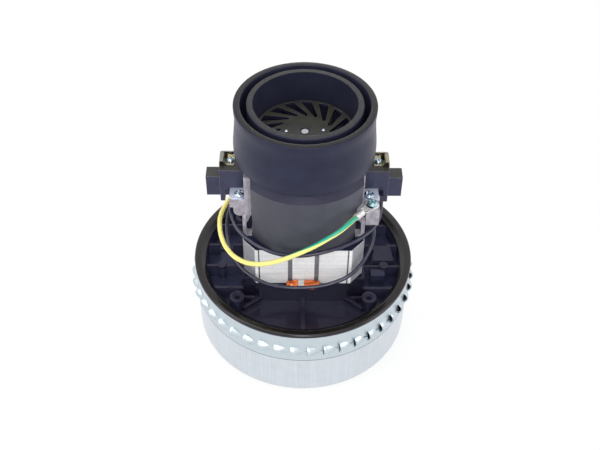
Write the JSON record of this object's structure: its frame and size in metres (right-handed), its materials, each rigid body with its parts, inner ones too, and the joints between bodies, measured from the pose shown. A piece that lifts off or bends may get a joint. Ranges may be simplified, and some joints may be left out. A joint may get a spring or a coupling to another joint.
{
  "type": "vacuum motor unit",
  "caption": "Upright two-stage bypass vacuum motor: louvred round fan housing, open bracket, field core with brush holders, and a rubber-ringed cooling neck.",
  "frame": {"origin": "centre of the inlet face at the bottom of the fan housing, on the shaft axis", "axes": "+Z along the shaft from the inlet face to the cooling neck, +X through the brush holder that has the earth screw beside it"},
  "size_m": [0.1494, 0.1494, 0.18],
  "materials": {
    "cup_aluminium": "brushed",
    "zinc_sheet": "satin",
    "black_gloss_plastic": "gloss",
    "black_matt_plastic": "matt",
    "fan_plastic": "satin",
    "seal_graphite": "matt",
    "lamination_steel": "satin",
    "copper": "gloss",
    "tie_cord": "matt",
    "insulator_plastic": "satin",
    "die_cast_metal": "matt",
    "bright_steel": "satin",
    "bearing_steel": "polished",
    "brass_sheet": "satin",
    "carbon": "matt",
    "yellow_green_sheath": "gloss",
    "black_sheath": "gloss",
    "commutator_copper": "satin",
    "phenolic": "satin",
    "impeller_aluminium": "satin",
    "rubber_black": "matt"
  },
  "bodies": {
    "housing": {"inlet_cup": "cup_aluminium", "louvre_band": "zinc_sheet", "fan_end_bracket": "black_gloss_plastic", "stationary_fan": "fan_plastic", "air_seal": "seal_graphite", "bearing_retainer": "bright_steel", "field_core": "lamination_steel", "field_coil_front": "copper", "field_coil_rear": "copper", "coil_ties": "tie_cord", "upper_insulator": "insulator_plastic", "lower_insulator": "insulator_plastic", "commutator_bracket": "die_cast_metal", "stack_screws": "bright_steel", "lower_bearing_outer_ring": "bearing_steel", "lower_bearing_balls": "bearing_steel", "upper_bearing_outer_ring": "bearing_steel", "upper_bearing_balls": "bearing_steel", "brush_holder_left": "black_matt_plastic", "brush_holder_right": "black_matt_plastic", "brush_guide_left": "brass_sheet", "brush_guide_right": "brass_sheet", "brush_spring_left": "bright_steel", "brush_spring_right": "bright_steel", "holder_clip_left": "zinc_sheet", "holder_clip_right": "zinc_sheet", "clip_screws": "bright_steel", "clamp_plates": "zinc_sheet", "clamp_screws": "bright_steel", "earth_screw": "bright_steel", "earth_terminal": "bright_steel", "earth_lead": "yellow_green_sheath", "upper_black_lead": "black_sheath", "lower_black_lead": "black_sheath", "holder_lead_terminal": "black_sheath", "lead_terminals": "brass_sheet", "fan_cover": "black_matt_plastic", "mount_ring": "rubber_black"},
    "rotor": {"lower_bearing_inner_ring": "bearing_steel", "upper_bearing_inner_ring": "bearing_steel", "shaft": "bright_steel", "armature_core": "lamination_steel", "armature_winding": "copper", "commutator_bars": "commutator_copper", "commutator_hub": "phenolic", "first_stage_impeller": "impeller_aluminium", "second_stage_impeller": "impeller_aluminium", "impeller_spacer": "bright_steel", "bearing_spacer": "bright_steel", "shaft_nut": "bright_steel", "shaft_washer": "bright_steel", "cooling_fan": "fan_plastic", "fan_rivets": "bright_steel"},
    "left_brush": {"brush_left": "carbon"},
    "right_brush": {"brush_right": "carbon"}
  },
  "joints": [
    {"name": "rotor_spin", "type": "hinge", "parent": "housing", "child": "rotor", "pos_m": [0, 0, 0.1], "axis": [0, 0, 1], "continuous": true},
    {"name": "left_brush_slide", "type": "slide", "parent": "housing", "child": "left_brush", "axis": [-1, 0, 0], "range_m": [0, 0.008], "stiffness_N_per_m": 250, "springref_m": -0.012, "deforming": ["brush_spring_left"]},
    {"name": "right_brush_slide", "type": "slide", "parent": "housing", "child": "right_brush", "axis": [1, 0, 0], "range_m": [0, 0.008], "stiffness_N_per_m": 250, "springref_m": -0.012, "deforming": ["brush_spring_right"]}
  ]
}
